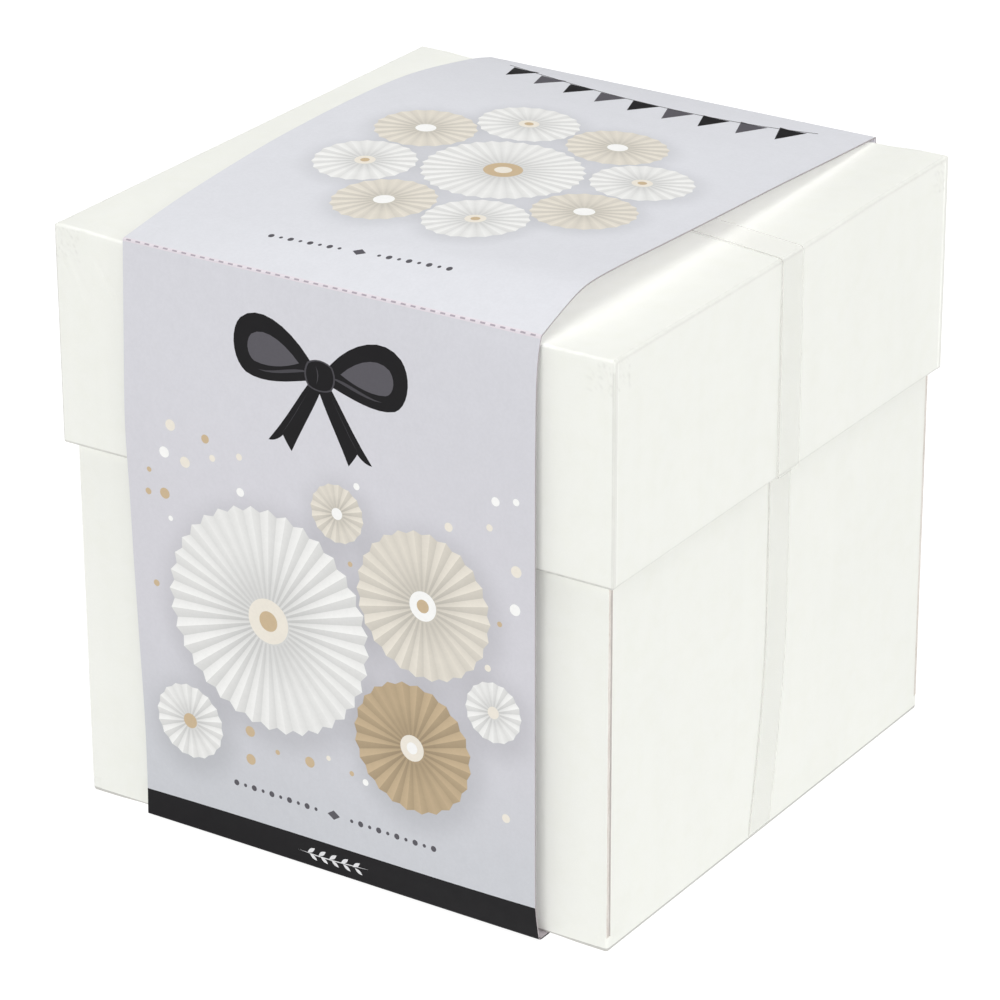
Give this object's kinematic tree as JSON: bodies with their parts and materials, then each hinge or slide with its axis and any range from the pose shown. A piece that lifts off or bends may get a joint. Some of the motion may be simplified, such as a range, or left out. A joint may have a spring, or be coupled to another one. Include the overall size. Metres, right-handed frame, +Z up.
{
  "type": "explosion box",
  "caption": "Square card box with an over-fitting lid, nested layers of walls that fall open flat round a small lidded gift box, and a paper sleeve round the outside.",
  "frame": {"origin": "centre of the footprint, on the surface the box stands on", "axes": "+Z up; -Y is the front, the face with the sleeve's front panel; +X to the right seen from the front"},
  "size_m": [0.1242, 0.1294, 0.1268],
  "materials": {
    "white_board": "off-white paper-wrapped board, satin",
    "layer_card": "off-white card, matt",
    "insert_card": "cream and kraft card, matt",
    "gift_card": "white card, matt",
    "sleeve_paper": "printed coated paper, soft satin",
    "clear_tape": "clear film, glossy"
  },
  "bodies": {
    "box_floor": {"outer_floor": "white_board", "middle_floor": "layer_card", "inner_floor": "layer_card", "gift_box_base": "gift_card"},
    "lid": {"lid": "white_board", "tape_on_lid": "clear_tape"},
    "sleeve_top": {"sleeve_top": "sleeve_paper"},
    "sleeve_bottom": {"sleeve_bottom": "sleeve_paper"},
    "sleeve_front": {"sleeve_front": "sleeve_paper"},
    "sleeve_back": {"sleeve_back": "sleeve_paper"},
    "outer_wall_front": {"outer_wall_front": "white_board", "wing_front_left": "layer_card", "wing_front_right": "layer_card"},
    "insert_outer_front": {"insert_outer_front": "insert_card"},
    "middle_wall_front": {"middle_wall_front": "layer_card", "middle_pocket_front": "layer_card"},
    "insert_middle_front": {"insert_middle_front": "insert_card"},
    "inner_wall_front": {"inner_wall_front": "layer_card", "inner_pocket_front": "layer_card"},
    "insert_inner_front": {"insert_inner_front": "insert_card"},
    "outer_wall_right": {"outer_wall_right": "white_board", "wing_right_left": "layer_card", "wing_right_right": "layer_card", "tape_on_wall": "clear_tape"},
    "insert_outer_right": {"insert_outer_right": "insert_card"},
    "middle_wall_right": {"middle_wall_right": "layer_card", "middle_pocket_right": "layer_card"},
    "insert_middle_right": {"insert_middle_right": "insert_card"},
    "inner_wall_right": {"inner_wall_right": "layer_card", "inner_pocket_right": "layer_card"},
    "insert_inner_right": {"insert_inner_right": "insert_card"},
    "outer_wall_back": {"outer_wall_back": "white_board", "wing_back_left": "layer_card", "wing_back_right": "layer_card"},
    "insert_outer_back": {"insert_outer_back": "insert_card"},
    "middle_wall_back": {"middle_wall_back": "layer_card", "middle_pocket_back": "layer_card"},
    "insert_middle_back": {"insert_middle_back": "insert_card"},
    "inner_wall_back": {"inner_wall_back": "layer_card", "inner_pocket_back": "layer_card"},
    "insert_inner_back": {"insert_inner_back": "insert_card"},
    "outer_wall_left": {"outer_wall_left": "white_board", "wing_left_left": "layer_card", "wing_left_right": "layer_card"},
    "insert_outer_left": {"insert_outer_left": "insert_card"},
    "middle_wall_left": {"middle_wall_left": "layer_card", "middle_pocket_left": "layer_card"},
    "insert_middle_left": {"insert_middle_left": "insert_card"},
    "inner_wall_left": {"inner_wall_left": "layer_card", "inner_pocket_left": "layer_card"},
    "insert_inner_left": {"insert_inner_left": "insert_card"},
    "gift_box_lid": {"gift_box_lid": "gift_card"}
  },
  "joints": [
    {"name": "lid_lift", "type": "slide", "parent": "box_floor", "child": "lid", "axis": [0, 0, 1], "range_m": [0, 0.52]},
    {"name": "sleeve_slide", "type": "slide", "parent": "lid", "child": "sleeve_top", "axis": [1, 0, 0], "range_m": [-0.125, 0.125]},
    {"name": "sleeve_slide_lower", "type": "slide", "parent": "box_floor", "child": "sleeve_bottom", "axis": [1, 0, 0], "range_m": [-0.125, 0.125]},
    {"name": "sleeve_front_fold", "type": "hinge", "parent": "sleeve_bottom", "child": "sleeve_front", "pos_m": [0, -0.0625, 0.0003], "axis": [1, 0, 0], "range_deg": [0, 90]},
    {"name": "sleeve_back_fold", "type": "hinge", "parent": "sleeve_bottom", "child": "sleeve_back", "pos_m": [0, 0.0625, 0.0003], "axis": [-1, 0, 0], "range_deg": [0, 90]},
    {"name": "outer_fold_front", "type": "hinge", "parent": "box_floor", "child": "outer_wall_front", "pos_m": [0, -0.0602, 0.0006], "axis": [1, 0, 0], "range_deg": [0, 90]},
    {"name": "insert_outer_front_draw", "type": "slide", "parent": "outer_wall_front", "child": "insert_outer_front", "axis": [0, 0, 1], "range_m": [0, 0.02]},
    {"name": "middle_fold_front", "type": "hinge", "parent": "box_floor", "child": "middle_wall_front", "pos_m": [0, -0.05755, 0.00325], "axis": [1, 0, 0], "range_deg": [0, 90]},
    {"name": "insert_middle_front_draw", "type": "slide", "parent": "middle_wall_front", "child": "insert_middle_front", "axis": [0, 0, 1], "range_m": [0, 0.018]},
    {"name": "inner_fold_front", "type": "hinge", "parent": "box_floor", "child": "inner_wall_front", "pos_m": [0, -0.05515, 0.00565], "axis": [1, 0, 0], "range_deg": [0, 90]},
    {"name": "insert_inner_front_draw", "type": "slide", "parent": "inner_wall_front", "child": "insert_inner_front", "axis": [0, 0, 1], "range_m": [0, 0.029]},
    {"name": "outer_fold_right", "type": "hinge", "parent": "box_floor", "child": "outer_wall_right", "pos_m": [0.0602, 0, 0.0006], "axis": [0, 1, 0], "range_deg": [0, 90]},
    {"name": "insert_outer_right_draw", "type": "slide", "parent": "outer_wall_right", "child": "insert_outer_right", "axis": [0, 0, 1], "range_m": [0, 0.02]},
    {"name": "middle_fold_right", "type": "hinge", "parent": "box_floor", "child": "middle_wall_right", "pos_m": [0.05755, 0, 0.00325], "axis": [0, 1, 0], "range_deg": [0, 90]},
    {"name": "insert_middle_right_draw", "type": "slide", "parent": "middle_wall_right", "child": "insert_middle_right", "axis": [0, 0, 1], "range_m": [0, 0.018]},
    {"name": "inner_fold_right", "type": "hinge", "parent": "box_floor", "child": "inner_wall_right", "pos_m": [0.05515, 0, 0.00565], "axis": [0, 1, 0], "range_deg": [0, 90]},
    {"name": "insert_inner_right_draw", "type": "slide", "parent": "inner_wall_right", "child": "insert_inner_right", "axis": [0, 0, 1], "range_m": [0, 0.029]},
    {"name": "outer_fold_back", "type": "hinge", "parent": "box_floor", "child": "outer_wall_back", "pos_m": [0, 0.0602, 0.0006], "axis": [-1, 0, 0], "range_deg": [0, 90]},
    {"name": "insert_outer_back_draw", "type": "slide", "parent": "outer_wall_back", "child": "insert_outer_back", "axis": [0, 0, 1], "range_m": [0, 0.02]},
    {"name": "middle_fold_back", "type": "hinge", "parent": "box_floor", "child": "middle_wall_back", "pos_m": [0, 0.05755, 0.00325], "axis": [-1, 0, 0], "range_deg": [0, 90]},
    {"name": "insert_middle_back_draw", "type": "slide", "parent": "middle_wall_back", "child": "insert_middle_back", "axis": [0, 0, 1], "range_m": [0, 0.018]},
    {"name": "inner_fold_back", "type": "hinge", "parent": "box_floor", "child": "inner_wall_back", "pos_m": [0, 0.05515, 0.00565], "axis": [-1, 0, 0], "range_deg": [0, 90]},
    {"name": "insert_inner_back_draw", "type": "slide", "parent": "inner_wall_back", "child": "insert_inner_back", "axis": [0, 0, 1], "range_m": [0, 0.029]},
    {"name": "outer_fold_left", "type": "hinge", "parent": "box_floor", "child": "outer_wall_left", "pos_m": [-0.0602, 0, 0.0006], "axis": [0, -1, 0], "range_deg": [0, 90]},
    {"name": "insert_outer_left_draw", "type": "slide", "parent": "outer_wall_left", "child": "insert_outer_left", "axis": [0, 0, 1], "range_m": [0, 0.02]},
    {"name": "middle_fold_left", "type": "hinge", "parent": "box_floor", "child": "middle_wall_left", "pos_m": [-0.05755, 0, 0.00325], "axis": [0, -1, 0], "range_deg": [0, 90]},
    {"name": "insert_middle_left_draw", "type": "slide", "parent": "middle_wall_left", "child": "insert_middle_left", "axis": [0, 0, 1], "range_m": [0, 0.018]},
    {"name": "inner_fold_left", "type": "hinge", "parent": "box_floor", "child": "inner_wall_left", "pos_m": [-0.05515, 0, 0.00565], "axis": [0, -1, 0], "range_deg": [0, 90]},
    {"name": "insert_inner_left_draw", "type": "slide", "parent": "inner_wall_left", "child": "insert_inner_left", "axis": [0, 0, 1], "range_m": [0, 0.029]},
    {"name": "gift_lid_lift", "type": "slide", "parent": "box_floor", "child": "gift_box_lid", "axis": [0, 0, 1], "range_m": [0, 0.037]}
  ],
  "couplings": [
    {"joint": "sleeve_slide_lower", "follows": "sleeve_slide", "ratio": 1},
    {"joint": "sleeve_front_fold", "follows": "lid_lift", "rad_per_m": 3.0207},
    {"joint": "sleeve_back_fold", "follows": "lid_lift", "rad_per_m": 3.0207},
    {"joint": "outer_fold_front", "follows": "lid_lift", "rad_per_m": 3.0207},
    {"joint": "middle_fold_front", "follows": "lid_lift", "rad_per_m": 3.0207},
    {"joint": "inner_fold_front", "follows": "lid_lift", "rad_per_m": 3.0207},
    {"joint": "outer_fold_right", "follows": "lid_lift", "rad_per_m": 3.0207},
    {"joint": "middle_fold_right", "follows": "lid_lift", "rad_per_m": 3.0207},
    {"joint": "inner_fold_right", "follows": "lid_lift", "rad_per_m": 3.0207},
    {"joint": "outer_fold_back", "follows": "lid_lift", "rad_per_m": 3.0207},
    {"joint": "middle_fold_back", "follows": "lid_lift", "rad_per_m": 3.0207},
    {"joint": "inner_fold_back", "follows": "lid_lift", "rad_per_m": 3.0207},
    {"joint": "outer_fold_left", "follows": "lid_lift", "rad_per_m": 3.0207},
    {"joint": "middle_fold_left", "follows": "lid_lift", "rad_per_m": 3.0207},
    {"joint": "inner_fold_left", "follows": "lid_lift", "rad_per_m": 3.0207}
  ]
}
